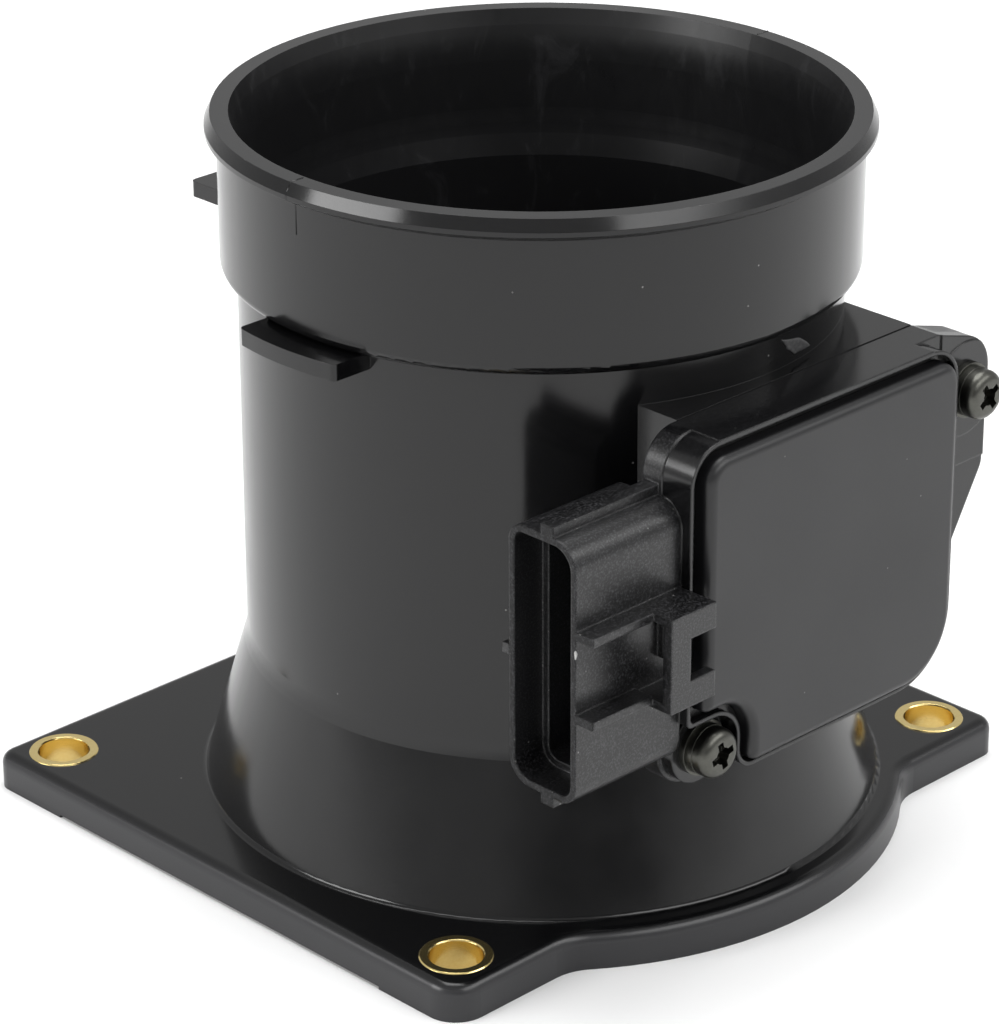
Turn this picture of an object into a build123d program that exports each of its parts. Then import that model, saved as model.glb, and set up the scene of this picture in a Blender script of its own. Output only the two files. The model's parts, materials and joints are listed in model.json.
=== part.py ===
from build123d import *
import math
import os

# Mass airflow sensor: a moulded air duct with a bolted, plug-in sensor module.
# Millimetres. Z runs up the duct axis from the flange's mounting face at Z = 0,
# the hose collar is at the top, the module sits on the -Y side and its plug
# socket opens towards -X.

os.makedirs("parts", exist_ok=True)

# Duct
duct_bore = 71.0
duct_wall = 2.6
duct_draft = 0.15
collar_outer = 80.4
collar_wall = 2.8
collar_length = 20.0
collar_edge_radius = 1.2
overall_height = 95.6
lip_outer = 83.3
lip_top_outer = 81.8
lip_bevel_height = 1.5
lip_land_height = 0.6
lip_under_height = 0.9
mouth_bore = 77.2
mouth_taper_height = 4.4
mouth_blend_radius = 18.0
mouth_depth = 19.6
step_slope_height = 4.5
step_blend_radius = 12.0
core_split_height = 24.0
core_mismatch = 0.3
core_draft = 0.25

# Skirt that spreads the duct onto the flange
skirt_top_height = 25.4
skirt_base_outer = 88.5
skirt_crease_radius = 9.0
skirt_base_fillet = 0.7

# Flange
flange_thickness = 5.0
flange_edge_radius = 1.6
hole_spacing_x = 88.5
hole_spacing_y = 75.0
hole_pattern_y = 7.9
flange_margin = 6.5
flange_corner_radius = 4.3
flange_sharp_corner_radius = 2.4
bulge_radius = 47.6
bulge_blend_radius = 7.0
foot_relief = 0.4
foot_pad_width = 13.8
seal_ring_width = 5.0

# Brass bushings moulded into the flange
bushing_outer = 9.2
bushing_bore = 6.75
bushing_proud = 0.15
bushing_edge = 0.15

# Hose stops under the collar
stop_thickness = 2.15
side_stop_width = 16.9
side_stop_radius = 43.7
rear_stop_width = 26.4
rear_stop_reach = 52.0
stop_corner_radius = 0.8

# Mounting pad for the module
pad_face = 40.0
pad_left = -17.7
pad_right = 24.45
pad_top = 70.5
pad_bottom = 27.5
pad_corner_radius = 3.0
pad_root = 27.0
window_width = 18.6
window_height = 26.6
window_corner_radius = 4.0
window_root = 33.0
probe_height = 47.9

# Screws that hold the module
lower_screw = (-18.15, 29.6)
upper_screw = (29.6, 61.85)
screw_boss_radius = 4.2
upper_boss_length = 8.0
lower_boss_root = 31.0
insert_outer = 5.2
insert_length = 5.0
insert_hole_extra = 1.0
insert_flange_outer = 6.4
insert_flange_thickness = 0.6
screw_thread = 3.5
screw_length = 12.0
screw_hole_clearance = 0.35
head_diameter = 6.4
head_height = 2.2
head_dome_radius = 1.3
recess_width = 3.7
recess_slot = 0.95
recess_core = 2.2
recess_depth = 1.3
recess_core_depth = 1.7
lower_recess_turn = 15.4
upper_recess_turn = 34.3
plain_washer_outer = 7.2
plain_washer_thickness = 0.8
spring_washer_outer = 6.5
spring_washer_thickness = 0.9
spring_washer_split = 0.7

# Sensor module case
case_left = -23.35
case_right = 25.0
case_bottom = 25.4
case_top = 70.4
case_depth = 7.6
base_thickness = 3.0
base_step = 0.15
case_corner_radius = 5.0
case_toe_radius = 9.5
lower_ear_radius = 5.3
ear_thickness = 4.75
ear_right = 33.9
ear_slope_start = 24.45
ear_corner_height = 67.6
ear_corner_radius = 5.2
ear_bend_height = 50.4
ear_bend_radius = 3.0
ear_foot_height = 35.2
ear_step_height = 51.6
ear_step = 0.2
seat_radius = 4.8
upper_seat_radius = 6.3
seat_plane = 4.9
notch_right = -14.45
notch_top = 34.3
notch_corner_radius = 4.0
notch_toe_radius = 3.0
notch_end_radius = 0.8
rim_width = 0.65
lid_pocket_depth = 2.4
case_wall = 4.0
case_floor = 1.5
cavity_corner_radius = 2.0

# Lid
lid_gap_left = 1.6
lid_gap_top = 1.2
lid_gap_near = 0.4
lid_proud = 1.2
lid_edge_radius = 1.2
lid_notch_gap = 1.0
lid_skin = 1.8
sealant_thickness = 1.2
seat_clearance = 0.05

# Plug socket
socket_reach = 17.35
socket_front = 46.2
socket_rear = 35.3
socket_bottom = 30.1
socket_top = 63.6
socket_top_front_radius = 3.6
socket_top_rear_radius = 2.2
socket_bottom_front_radius = 2.4
socket_bottom_rear_radius = 3.4
socket_wall = 0.85
socket_mouth_depth = 4.7
socket_step = 1.0
socket_depth = 13.2
socket_rib_front = 42.55
socket_rib_width = 2.05
socket_rib_height = 1.3
boss_relief = 0.55
rail_thickness = 1.05
rail_reach = 2.8
upper_rail_top = 52.95
lower_rail_top = 42.3
bridge_length = 7.45
bridge_reach = 5.8
bridge_skin = 1.4
bridge_bottom = 40.8
bridge_arm_height = 3.3
bridge_post = 3.2
latch_rib_left = -27.1
latch_rib_width = 1.5
latch_rib_bottom = 45.2
latch_rib_reach = 1.0
gate_nub_height = 47.0
gate_nub_width = 1.3
gate_nub_reach = 1.1
gate_nub_length = 0.9

# Plug terminals
terminal_count = 5
terminal_pitch = 4.6
terminal_width = 2.0
terminal_thickness = 0.8
terminal_setback = 4.2
terminal_inner_reach = 5.6
terminal_chamfer = 0.25

# Heat plate, circuit board and the parts on it
board_left = -16.0
board_right = 19.0
heat_plate_margin = 0.9
heat_plate_clearance = 0.4
heat_plate_thickness = 1.0
post_opening_margin = 1.2
board_thickness = 1.0
board_parts = {
    "signal_chip": {"place": (7.5, 1.6), "size": (8.0, 8.0), "thickness": 1.5},
    "heater_driver": {"place": (-9.5, 4.6), "size": (6.2, 5.0), "thickness": 1.4},
    "trimmed_resistor": {"place": (-9.5, -5.4), "size": (6.0, 3.0), "thickness": 0.7},
}

# Probe that reaches into the air stream
neck_gap = 0.3
neck_length = 4.2
strut_width = 10.0
strut_height = 22.0
strut_corner_radius = 2.5
tube_outer = 15.0
tube_bore = 11.4
tube_length = 24.0
tube_lip_chamfer = 1.0
tube_centre = 3.0
seal_groove_depth = 1.3
seal_groove_width = 2.0
seal_groove_setback = 0.9
post_diameter = 0.8
post_spacing = 3.6
post_fit = 0.05
hot_post_height = 3.0
cold_post_height = -3.0
element_diameter = 1.2
element_gap = 0.06

corner_minimum = 0.3
overshoot = 1.0
edge_search = 0.01

duct_radius = duct_bore / 2
barrel_radius = duct_radius + duct_wall
collar_radius = collar_outer / 2
socket_radius = collar_radius - collar_wall
collar_base = overall_height - collar_length
step_height = overall_height - mouth_depth
bushing_top = flange_thickness + bushing_proud
flange_width = hole_spacing_x + 2 * flange_margin
flange_depth = hole_spacing_y + 2 * flange_margin
flange_front = hole_pattern_y - flange_depth / 2
probe_centre = (0.0, probe_height)


def facing(distance):
    """Sketch plane that faces the module side, this far in front of the duct axis."""
    return Plane.XZ.offset(distance)


def nearest(shape, x, y):
    """The corner of a sketch that lies nearest to a point."""
    return shape.vertices().sort_by_distance((x, y, 0))[0]


def finish(piece, label):
    """Label a finished piece and write it under that name."""
    piece.label = label
    export_step(piece, f"parts/{label}.step")


def notched_outline(left, right, bottom, top, corner, toe, notch_inset):
    """Front outline of the module, cut away round the lower screw."""
    wall_x = notch_right + notch_inset
    wall_z = notch_top + notch_inset
    with BuildSketch() as outline:
        with Locations(((left + right) / 2, (bottom + top) / 2)):
            Rectangle(right - left, top - bottom)
        fillet(outline.vertices().group_by(Axis.Y)[-1], corner)
        fillet(nearest(outline, right, bottom), toe)
        with Locations((wall_x, wall_z)):
            Rectangle(case_top, case_top, align=(Align.MAX, Align.MAX), mode=Mode.SUBTRACT)
        fillet(nearest(outline, wall_x, wall_z), notch_corner_radius + notch_inset)
        fillet(nearest(outline, wall_x, bottom), max(notch_toe_radius - notch_inset, notch_end_radius))
        fillet(nearest(outline, left, wall_z), notch_end_radius)
    return outline.sketch


def ring_outline(width, height, corner, wall):
    """Rounded rectangular ring around the probe's centre line."""
    with BuildSketch() as outline:
        with Locations(probe_centre):
            RectangleRounded(width, height, corner)
            RectangleRounded(width - 2 * wall, height - 2 * wall, corner - wall, mode=Mode.SUBTRACT)
    return outline.sketch


def socket_section(inset):
    """Cross-section of the plug socket, seen from its mouth."""
    front = socket_front - inset
    rear = socket_rear + inset
    low = socket_bottom + inset
    high = socket_top - inset
    with BuildSketch() as outline:
        with Locations(((front + rear) / 2, (low + high) / 2)):
            Rectangle(front - rear, high - low)
        fillet(nearest(outline, front, high), socket_top_front_radius - inset)
        fillet(nearest(outline, rear, high), max(socket_top_rear_radius - inset, corner_minimum))
        fillet(nearest(outline, front, low), max(socket_bottom_front_radius - inset, corner_minimum))
        fillet(nearest(outline, rear, low), socket_bottom_rear_radius - inset)
    return outline.sketch


# Duct housing: flange, skirt, barrel, hose collar, stops, module pad and bosses
with BuildSketch() as flange_outline:
    with Locations((0, hole_pattern_y)):
        Rectangle(flange_width, flange_depth)
    for i, j in ((-1, -1), (1, 1), (-1, 1), (1, -1)):
        radius = flange_corner_radius if i == j else flange_sharp_corner_radius
        corner_y = hole_pattern_y + j * flange_depth / 2
        fillet(nearest(flange_outline, i * flange_width / 2, corner_y), radius)
    Circle(bulge_radius)
    blend_x = math.sqrt(bulge_radius ** 2 - flange_front ** 2)
    blends = [nearest(flange_outline, side * blend_x, flange_front) for side in (-1, 1)]
    fillet(blends, bulge_blend_radius)

with BuildSketch() as outer_profile:
    with BuildLine():
        Polyline(
            (0, 0),
            (skirt_base_outer / 2, 0),
            (skirt_base_outer / 2, flange_thickness),
            (barrel_radius + duct_draft, skirt_top_height),
            (barrel_radius, collar_base),
            (collar_radius, collar_base),
            (collar_radius, overall_height - lip_bevel_height - lip_land_height - lip_under_height),
            (lip_outer / 2, overall_height - lip_bevel_height - lip_land_height),
            (lip_outer / 2, overall_height - lip_bevel_height),
            (lip_top_outer / 2, overall_height),
            (0, overall_height),
            close=True,
        )
    make_face()
    fillet(nearest(outer_profile, barrel_radius + duct_draft, skirt_top_height), skirt_crease_radius)
    fillet(nearest(outer_profile, collar_radius, collar_base), collar_edge_radius)

with BuildSketch() as air_path:
    upper_core_radius = duct_radius + core_mismatch
    with BuildLine():
        Polyline(
            (0, -overshoot),
            (duct_radius, -overshoot),
            (duct_radius, core_split_height),
            (upper_core_radius, core_split_height),
            (upper_core_radius + core_draft, step_height),
            (socket_radius, step_height + step_slope_height),
            (socket_radius, overall_height - mouth_taper_height),
            (mouth_bore / 2, overall_height),
            (mouth_bore / 2, overall_height + overshoot),
            (0, overall_height + overshoot),
            close=True,
        )
    make_face()
    fillet(nearest(air_path, socket_radius, step_height + step_slope_height), step_blend_radius)
    fillet(nearest(air_path, socket_radius, overall_height - mouth_taper_height), mouth_blend_radius)

with BuildPart() as duct_housing:
    with BuildSketch():
        add(flange_outline.sketch)
    extrude(amount=flange_thickness)
    rim_edges = duct_housing.faces().sort_by(Axis.Z)[-1].edges()
    fillet(rim_edges, flange_edge_radius)

    with BuildSketch(Plane.XZ):
        add(outer_profile.sketch)
    revolve(axis=Axis.Z)
    base_edges = (
        duct_housing.edges()
        .filter_by(GeomType.CIRCLE)
        .filter_by_position(Axis.Z, flange_thickness - edge_search, flange_thickness + edge_search)
        .filter_by(lambda edge: math.isclose(edge.radius, skirt_base_outer / 2))
    )
    fillet(base_edges, skirt_base_fillet)

    with BuildSketch(Plane.XY.offset(collar_base - stop_thickness)) as stops:
        Circle(side_stop_radius)
        Rectangle(2 * side_stop_radius, side_stop_width, mode=Mode.INTERSECT)
        with Locations((0, rear_stop_reach / 2)):
            Rectangle(rear_stop_width, rear_stop_reach)
        stop_x = math.sqrt(side_stop_radius ** 2 - (side_stop_width / 2) ** 2)
        ends = [nearest(stops, i * stop_x, j * side_stop_width / 2) for i in (-1, 1) for j in (-1, 1)]
        ends += [nearest(stops, side * rear_stop_width / 2, rear_stop_reach) for side in (-1, 1)]
        fillet(ends, stop_corner_radius)
    extrude(amount=stop_thickness)

    with BuildSketch(facing(pad_root)) as pad:
        with Locations(((pad_left + pad_right) / 2, (pad_bottom + pad_top) / 2)):
            Rectangle(pad_right - pad_left, pad_top - pad_bottom)
        fillet(pad.vertices().group_by(Axis.Y)[0], pad_corner_radius)
    extrude(amount=pad_face - pad_root)

    with BuildSketch(facing(lower_boss_root)):
        with Locations(lower_screw):
            Circle(screw_boss_radius)
    extrude(amount=pad_face - lower_boss_root)

    with BuildSketch(facing(pad_face - upper_boss_length)):
        with Locations(upper_screw):
            Circle(screw_boss_radius)
        with Locations(((pad_right + upper_screw[0]) / 2, upper_screw[1])):
            Rectangle(upper_screw[0] - pad_right, 2 * screw_boss_radius)
    extrude(amount=upper_boss_length)

    with BuildSketch(facing(window_root)):
        with Locations(probe_centre):
            RectangleRounded(window_width, window_height, window_corner_radius)
    extrude(amount=pad_face - window_root, mode=Mode.SUBTRACT)

    with BuildSketch(facing(pad_face)):
        with Locations(lower_screw, upper_screw):
            Circle(insert_outer / 2)
    extrude(amount=-(insert_length + insert_hole_extra), mode=Mode.SUBTRACT)
    with BuildSketch(facing(pad_face)):
        with Locations(lower_screw, upper_screw):
            Circle(insert_flange_outer / 2)
    extrude(amount=-insert_flange_thickness, mode=Mode.SUBTRACT)

    with BuildSketch(Plane.XZ):
        add(air_path.sketch)
    revolve(axis=Axis.Z, mode=Mode.SUBTRACT)

    with BuildSketch() as bushing_seats:
        with Locations((0, hole_pattern_y)):
            with GridLocations(hole_spacing_x, hole_spacing_y, 2, 2):
                Circle(bushing_outer / 2)
    extrude(amount=flange_thickness, mode=Mode.SUBTRACT)

    with BuildSketch() as foot_relief_area:
        add(flange_outline.sketch)
        Circle(duct_radius + seal_ring_width, mode=Mode.SUBTRACT)
        with Locations((0, hole_pattern_y)):
            with GridLocations(hole_spacing_x, hole_spacing_y, 2, 2):
                Rectangle(foot_pad_width, foot_pad_width, mode=Mode.SUBTRACT)
            with Locations((0, -hole_spacing_y / 2)):
                Rectangle(flange_width, foot_pad_width, mode=Mode.SUBTRACT)
        with Locations((0, flange_front)):
            Rectangle(flange_width, bulge_radius, mode=Mode.SUBTRACT, align=(Align.CENTER, Align.MAX))
    extrude(amount=foot_relief, mode=Mode.SUBTRACT)
finish(duct_housing.part, "duct_housing")

# Brass bushings that carry the flange bolts
with BuildPart() as bushing:
    with BuildSketch():
        Circle(bushing_outer / 2)
        Circle(bushing_bore / 2, mode=Mode.SUBTRACT)
    extrude(amount=bushing_top)
    chamfer(bushing.edges().group_by(Axis.Z)[-1], bushing_edge)

bushing_places = {
    "front_left": (-1, -1),
    "front_right": (1, -1),
    "rear_left": (-1, 1),
    "rear_right": (1, 1),
}
for corner, (side_x, side_y) in bushing_places.items():
    place = Pos(side_x * hole_spacing_x / 2, hole_pattern_y + side_y * hole_spacing_y / 2, 0)
    finish(place * bushing.part, f"flange_bushing_{corner}")

# Outlines shared by the case, its pocket, the lid and the sealant
def case_outline(inset, corner, toe):
    """Notched outline of the case, this far inside the base."""
    return notched_outline(
        case_left + inset, case_right - inset, case_bottom + inset, case_top - inset,
        corner, toe, inset,
    )


base_shape = case_outline(0, case_corner_radius, case_toe_radius)
body_shape = case_outline(base_step, case_corner_radius - base_step, case_toe_radius - base_step)
pocket_shape = case_outline(rim_width, case_corner_radius - rim_width, case_toe_radius - rim_width)


def lid_outline(grow):
    """Front outline of the lid, made larger by this much all round."""
    return notched_outline(
        case_left + rim_width + lid_gap_left - grow,
        case_right - rim_width - lid_gap_near + grow,
        case_bottom + rim_width + lid_gap_near - grow,
        case_top - rim_width - lid_gap_top + grow,
        case_corner_radius - rim_width - lid_gap_top + grow,
        case_toe_radius - rim_width - lid_gap_near + grow,
        rim_width + lid_notch_gap - grow,
    )


lid_shape = lid_outline(0)
lid_hole_shape = lid_outline(seat_clearance)

with BuildSketch() as cavity_outline:
    cavity_low = notch_top + case_wall
    cavity_high = case_top - case_wall
    with Locations(((case_left + case_right) / 2, (cavity_low + cavity_high) / 2)):
        RectangleRounded(
            case_right - case_left - 2 * case_wall, cavity_high - cavity_low, cavity_corner_radius
        )

front_plane = pad_face + case_depth
ledge_plane = front_plane - lid_pocket_depth
floor_plane = pad_face + case_floor
washer_plane = pad_face + seat_plane
socket_mouth = case_left - socket_reach
terminal_plane = floor_plane + seat_clearance + terminal_thickness / 2
screw_passage = screw_thread / 2 + screw_hole_clearance
terminal_heights = [
    (socket_bottom + socket_top) / 2 + (i - (terminal_count - 1) / 2) * terminal_pitch
    for i in range(terminal_count)
]
socket_shell = socket_section(0)
socket_mouth_shape = socket_section(socket_wall)
socket_inner_shape = socket_section(socket_wall + socket_step)
socket_plane = Plane(origin=(socket_mouth, 0, 0), x_dir=(0, -1, 0), z_dir=(-1, 0, 0))

# Sensor module: base, case rim, screw ears and plug socket in one moulding
with BuildSketch() as ear_shape:
    with BuildLine():
        Polyline(
            (ear_slope_start - case_corner_radius, case_top),
            (ear_slope_start, case_top),
            (ear_right, ear_corner_height),
            (ear_right, ear_bend_height),
            (case_right, ear_foot_height),
            (ear_slope_start - case_corner_radius, ear_foot_height),
            close=True,
        )
    make_face()
    fillet(nearest(ear_shape, ear_right, ear_corner_height), ear_corner_radius)
    fillet(nearest(ear_shape, ear_right, ear_bend_height), ear_bend_radius)

with BuildPart() as sensor_module:
    with BuildSketch(facing(pad_face)):
        add(base_shape)
        add(ear_shape.sketch)
        with Locations(lower_screw):
            Circle(lower_ear_radius)
        with Locations((case_left, notch_top)):
            Rectangle(
                notch_right - case_left, notch_top - lower_screw[1], align=(Align.MIN, Align.MAX)
            )
        with Locations((lower_screw[0], case_bottom)):
            Rectangle(
                notch_right - lower_screw[0] + notch_toe_radius,
                notch_top - case_bottom,
                align=(Align.MIN, Align.MIN),
            )
    extrude(amount=base_thickness)

    with BuildSketch(facing(pad_face)):
        add(body_shape)
        with Locations(((case_left + case_right) / 2, case_top)):
            Rectangle(
                case_right - case_left - 2 * case_corner_radius,
                case_corner_radius,
                align=(Align.CENTER, Align.MAX),
            )
    extrude(amount=case_depth)

    with BuildSketch(facing(pad_face)):
        add(ear_shape.sketch)
    extrude(amount=ear_thickness - ear_step)

    with BuildSketch(facing(pad_face)):
        add(ear_shape.sketch)
        with Locations((ear_right, ear_step_height)):
            Rectangle(
                2 * (ear_right - case_right + base_step),
                case_top - ear_step_height,
                align=(Align.CENTER, Align.MIN),
                mode=Mode.INTERSECT,
            )
    extrude(amount=ear_thickness)

    with BuildSketch(facing(pad_face)):
        with Locations(upper_screw):
            Circle(upper_seat_radius)
        add(ear_shape.sketch, mode=Mode.INTERSECT)
        with Locations(lower_screw):
            Circle(seat_radius)
    extrude(amount=seat_plane)

    with BuildSketch(socket_plane):
        add(socket_shell)
        with Locations((socket_rib_front - socket_rib_width / 2, (socket_bottom + socket_top) / 2)):
            Rectangle(socket_rib_width, socket_top - socket_bottom + 2 * socket_rib_height)
    extrude(amount=-(socket_reach + 2 * base_step))

    with BuildSketch(socket_plane.offset(-(socket_reach - boss_relief))):
        with Locations(((pad_face + socket_rear) / 2, (socket_bottom + socket_top) / 2)):
            Rectangle(pad_face - socket_rear, socket_top - socket_bottom + 2 * case_wall)
    extrude(amount=-2 * boss_relief, mode=Mode.SUBTRACT)

    with BuildSketch(socket_plane):
        add(socket_mouth_shape)
    extrude(amount=-socket_mouth_depth, mode=Mode.SUBTRACT)
    with BuildSketch(socket_plane):
        add(socket_inner_shape)
    extrude(amount=-socket_depth, mode=Mode.SUBTRACT)

    with BuildSketch(socket_plane):
        for rail_top in (upper_rail_top, lower_rail_top):
            with Locations((socket_front, rail_top)):
                Rectangle(rail_reach, rail_thickness, align=(Align.MIN, Align.MAX))
    extrude(amount=-(socket_reach - bridge_length))

    bridge_height = upper_rail_top - bridge_bottom
    with BuildSketch(socket_plane.offset(-(socket_reach - bridge_length))):
        with Locations((socket_front, upper_rail_top)):
            Rectangle(bridge_reach, bridge_height, align=(Align.MIN, Align.MAX))
        with Locations((socket_front, upper_rail_top - rail_thickness)):
            Rectangle(
                bridge_reach - bridge_skin,
                bridge_height - 2 * rail_thickness,
                align=(Align.MIN, Align.MAX),
                mode=Mode.SUBTRACT,
            )
    extrude(amount=-bridge_length)

    with BuildSketch(facing(socket_front + bridge_reach)):
        with Locations((case_left, (upper_rail_top + bridge_bottom) / 2)):
            Rectangle(
                bridge_length - bridge_post,
                bridge_height - 2 * bridge_arm_height,
                align=(Align.MAX, Align.CENTER),
            )
    extrude(amount=-bridge_skin, mode=Mode.SUBTRACT)

    with BuildSketch(facing(socket_front)):
        with Locations((latch_rib_left, latch_rib_bottom)):
            Rectangle(
                latch_rib_width,
                upper_rail_top - rail_thickness - latch_rib_bottom,
                align=(Align.MIN, Align.MIN),
            )
    extrude(amount=latch_rib_reach)

    with BuildSketch(facing(socket_rear - gate_nub_reach)):
        with Locations((socket_mouth, gate_nub_height)):
            Rectangle(gate_nub_length, gate_nub_width, align=(Align.MIN, Align.CENTER))
    extrude(amount=gate_nub_reach + socket_wall / 2)

    with BuildSketch(facing(ledge_plane)):
        add(pocket_shape)
    extrude(amount=lid_pocket_depth, mode=Mode.SUBTRACT)
    with BuildSketch(facing(floor_plane)):
        add(cavity_outline.sketch)
    extrude(amount=case_depth, mode=Mode.SUBTRACT)

    with BuildSketch(socket_plane):
        for height in terminal_heights:
            with Locations((terminal_plane, height)):
                Rectangle(
                    terminal_thickness + 2 * seat_clearance, terminal_width + 2 * seat_clearance
                )
    extrude(amount=-(socket_reach + terminal_inner_reach + seat_clearance), mode=Mode.SUBTRACT)

    with BuildSketch(facing(pad_face)):
        with Locations(lower_screw, upper_screw):
            Circle(screw_passage)
    extrude(amount=seat_plane, mode=Mode.SUBTRACT)

    with BuildSketch(facing(pad_face)):
        for height in (hot_post_height, cold_post_height):
            with Locations((0, probe_height + height)):
                with GridLocations(post_spacing, 0, 2, 1):
                    Circle(post_diameter / 2 + post_fit)
    extrude(amount=case_floor, mode=Mode.SUBTRACT)
finish(sensor_module.part, "sensor_module")

# Lid with a pillowed edge, hollow behind
with BuildPart() as module_lid:
    with BuildSketch(facing(ledge_plane)):
        add(lid_shape)
    extrude(amount=lid_pocket_depth + lid_proud)
    lid_front_edges = module_lid.faces().sort_by(Axis.Y)[0].edges()
    fillet(lid_front_edges, lid_edge_radius)
    with BuildSketch(facing(ledge_plane)):
        add(cavity_outline.sketch)
    extrude(amount=lid_pocket_depth + lid_proud - lid_skin, mode=Mode.SUBTRACT)
finish(module_lid.part, "module_lid")

# Bead of sealant in the gap around the lid
with BuildPart() as lid_sealant:
    with BuildSketch(facing(ledge_plane)):
        add(pocket_shape)
        add(lid_hole_shape, mode=Mode.SUBTRACT)
    extrude(amount=sealant_thickness)
finish(lid_sealant.part, "lid_sealant")

# Probe: neck through the pad, strut, and a small tube along the air stream
neck_width = window_width - 2 * neck_gap
neck_height = window_height - 2 * neck_gap
neck_corner = window_corner_radius - neck_gap
seal_plane = pad_face - seal_groove_setback
tube_bottom = probe_height - tube_length / 2
post_end = tube_centre

with BuildPart() as probe_body:
    with BuildSketch(facing(pad_face)):
        with Locations(probe_centre):
            RectangleRounded(neck_width, neck_height, neck_corner)
    extrude(amount=-neck_length)
    with BuildSketch(facing(tube_centre)):
        with Locations(probe_centre):
            RectangleRounded(strut_width, strut_height, strut_corner_radius)
    extrude(amount=pad_face - tube_centre)
    with BuildSketch(Plane.XY.offset(tube_bottom)):
        with Locations((0, -tube_centre)):
            Circle(tube_outer / 2)
    extrude(amount=tube_length)
    with BuildSketch(Plane.XY.offset(tube_bottom)):
        with Locations((0, -tube_centre)):
            Circle(tube_bore / 2)
    extrude(amount=tube_length, mode=Mode.SUBTRACT)
    tube_mouths = (
        probe_body.edges()
        .filter_by(GeomType.CIRCLE)
        .filter_by(lambda edge: math.isclose(edge.radius, tube_bore / 2))
    )
    chamfer(tube_mouths, tube_lip_chamfer)
    with BuildSketch(facing(seal_plane)):
        add(ring_outline(neck_width + 2 * neck_gap, neck_height + 2 * neck_gap, window_corner_radius,
                         neck_gap + seal_groove_depth))
    extrude(amount=-seal_groove_width, mode=Mode.SUBTRACT)
    with BuildSketch(facing(pad_face)):
        for height in (hot_post_height, cold_post_height):
            with Locations((0, probe_height + height)):
                with GridLocations(post_spacing, 0, 2, 1):
                    Circle(post_diameter / 2 + post_fit)
    extrude(amount=-(pad_face - post_end), mode=Mode.SUBTRACT)
finish(probe_body.part, "probe_body")

# Rubber seal between the probe's neck and the pad window
with BuildPart() as probe_seal:
    with BuildSketch(facing(seal_plane - seat_clearance)):
        add(ring_outline(window_width - 2 * seat_clearance, window_height - 2 * seat_clearance,
                         window_corner_radius, neck_gap + seal_groove_depth - 2 * seat_clearance))
    extrude(amount=-(seal_groove_width - 2 * seat_clearance))
finish(probe_seal.part, "probe_seal")

# Posts that carry the sensing elements, and the two elements between them
heat_plate_plane = floor_plane + heat_plate_thickness
board_plane = heat_plate_plane + board_thickness
post_names = {"hot_wire": hot_post_height, "temperature": cold_post_height}
for element, height in post_names.items():
    for side, sign in (("left", -1), ("right", 1)):
        with BuildPart() as post:
            with BuildSketch(facing(post_end)):
                with Locations((sign * post_spacing / 2, probe_height + height)):
                    Circle(post_diameter / 2)
            extrude(amount=heat_plate_plane - post_end)
        finish(post.part, f"{element}_post_{side}")

element_length = post_spacing - post_diameter - 2 * element_gap
for element, height in post_names.items():
    with BuildPart() as bobbin:
        origin = (-element_length / 2, -(post_end + element_diameter), probe_height + height)
        with BuildSketch(Plane(origin=origin, x_dir=(0, 1, 0), z_dir=(1, 0, 0))):
            Circle(element_diameter / 2)
        extrude(amount=element_length)
    finish(bobbin.part, f"{element}_element")

# Aluminium plate and circuit board in the case
board_centre = ((board_left + board_right) / 2, (cavity_low + cavity_high) / 2)
plate_width = board_right - board_left + 2 * heat_plate_margin
plate_height = cavity_high - cavity_low - 2 * heat_plate_clearance
with BuildPart() as heat_plate:
    with BuildSketch(facing(floor_plane)):
        with Locations(board_centre):
            Rectangle(plate_width, plate_height)
        with Locations(probe_centre):
            Rectangle(
                post_spacing + 2 * post_opening_margin,
                hot_post_height - cold_post_height + 2 * post_opening_margin,
                mode=Mode.SUBTRACT,
            )
    extrude(amount=heat_plate_thickness)
finish(heat_plate.part, "heat_plate")

with BuildPart() as circuit_board:
    with BuildSketch(facing(heat_plate_plane)):
        with Locations(board_centre):
            Rectangle(plate_width - 2 * heat_plate_margin, plate_height - 2 * heat_plate_margin)
    extrude(amount=board_thickness)
finish(circuit_board.part, "circuit_board")

for name, component in board_parts.items():
    with BuildPart() as chip:
        with BuildSketch(facing(board_plane)):
            with Locations(board_centre):
                with Locations(component["place"]):
                    Rectangle(*component["size"])
        extrude(amount=component["thickness"])
    finish(chip.part, name)

# Plug terminals through the socket floor into the case
terminal_tip = socket_mouth + terminal_setback
terminal_end = case_left + terminal_inner_reach
for number, height in enumerate(terminal_heights, start=1):
    with BuildPart() as terminal:
        origin = (terminal_end, 0, 0)
        with BuildSketch(Plane(origin=origin, x_dir=(0, -1, 0), z_dir=(-1, 0, 0))):
            with Locations((terminal_plane, height)):
                Rectangle(terminal_thickness, terminal_width)
        extrude(amount=terminal_end - terminal_tip)
        chamfer(terminal.faces().sort_by(Axis.X)[0].edges(), terminal_chamfer)
    finish(terminal.part, f"plug_terminal_{number}")

# Screws, washers and threaded inserts, made at the origin along -Y
spring_plane = washer_plane + plain_washer_thickness
head_plane = spring_plane + spring_washer_thickness
with BuildPart() as screw:
    with BuildSketch(facing(head_plane)):
        Circle(head_diameter / 2)
    extrude(amount=head_height)
    fillet(screw.faces().sort_by(Axis.Y)[0].edges(), head_dome_radius)
    with BuildSketch(facing(head_plane)):
        Circle(screw_thread / 2)
    extrude(amount=-screw_length)
    with BuildSketch(facing(head_plane + head_height)):
        Rectangle(recess_width, recess_slot)
        Rectangle(recess_slot, recess_width)
    extrude(amount=-recess_depth, mode=Mode.SUBTRACT)
    with BuildSketch(facing(head_plane + head_height)):
        Circle(recess_core / 2)
    extrude(amount=-recess_core_depth, mode=Mode.SUBTRACT)

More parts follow.
